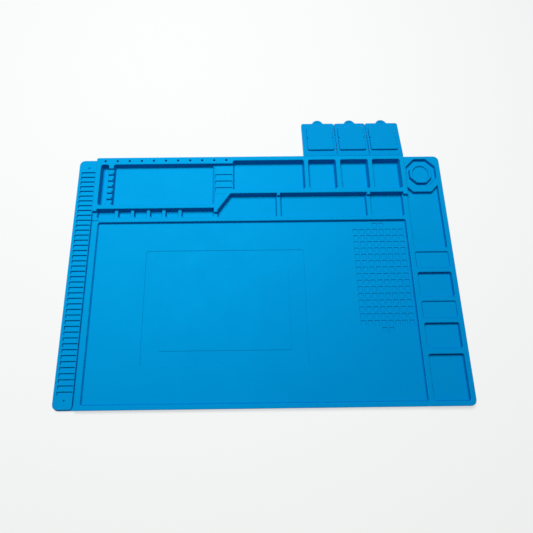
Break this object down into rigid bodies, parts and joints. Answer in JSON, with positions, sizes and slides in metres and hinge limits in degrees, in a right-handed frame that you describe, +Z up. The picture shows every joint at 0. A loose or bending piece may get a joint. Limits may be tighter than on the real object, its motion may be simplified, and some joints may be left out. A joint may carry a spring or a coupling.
{
  "type": "parts sorting tray",
  "caption": "Flat silicone repair mat with a work surface, sorting bins, tool rack, bit holes, screw grid and flip lids on living hinges.",
  "frame": {"origin": "middle of the mat's flat underside, on the surface it rests on", "axes": "+X to the right along the long side, +Y to the back edge that carries the lids, +Z up"},
  "size_m": [0.45, 0.357, 0.0123],
  "materials": {
    "silicone": "satin moulded silicone",
    "lid_silicone": "satin moulded silicone"
  },
  "bodies": {
    "mat": {"base_sheet": "silicone", "tool_rack": "silicone", "work_surface": "silicone", "screw_grid": "silicone", "work_left_rim": "silicone", "work_front_rim": "silicone", "work_back_rim": "silicone", "small_bin_left_wall": "silicone", "small_bin_divider_1": "silicone", "small_bin_divider_2": "silicone", "small_bin_divider_3": "silicone", "small_bin_divider_4": "silicone", "small_bin_divider_5": "silicone", "wide_bin_divider_1": "silicone", "wide_bin_divider_2": "silicone", "bay_left_wall": "silicone", "bay_front_rail": "silicone", "bay_floor": "silicone", "tool_saddle": "silicone", "bit_rail": "silicone", "tool_rest": "silicone", "slanted_rail": "silicone", "bin_front_rail": "silicone", "bin_back_rail": "silicone", "bin_right_wall": "silicone", "bin_divider_1": "silicone", "bin_divider_2": "silicone", "bin_divider_3": "silicone", "side_inner_rail": "silicone", "side_outer_rail": "silicone", "side_front_rail": "silicone", "cup_seat": "silicone", "side_divider_1": "silicone", "side_divider_2": "silicone", "side_divider_3": "silicone", "side_divider_4": "silicone", "side_divider_5": "silicone", "shallow_floor_3": "silicone", "shallow_floor_5": "silicone", "cup_boss": "silicone", "lid_hinge_strip": "silicone"},
    "left_lid": {"lid_left": "lid_silicone"},
    "middle_lid": {"lid_middle": "lid_silicone"},
    "right_lid": {"lid_right": "lid_silicone"}
  },
  "joints": [
    {"name": "left_lid_hinge", "type": "hinge", "parent": "mat", "child": "left_lid", "pos_m": [0.07675, 0.1504, 0.0107], "axis": [1, 0, 0], "range_deg": [0, 188.2]},
    {"name": "middle_lid_hinge", "type": "hinge", "parent": "mat", "child": "middle_lid", "pos_m": [0.11805, 0.1504, 0.0107], "axis": [1, 0, 0], "range_deg": [0, 188.2]},
    {"name": "right_lid_hinge", "type": "hinge", "parent": "mat", "child": "right_lid", "pos_m": [0.15905, 0.1504, 0.0107], "axis": [1, 0, 0], "range_deg": [0, 188.2]}
  ]
}
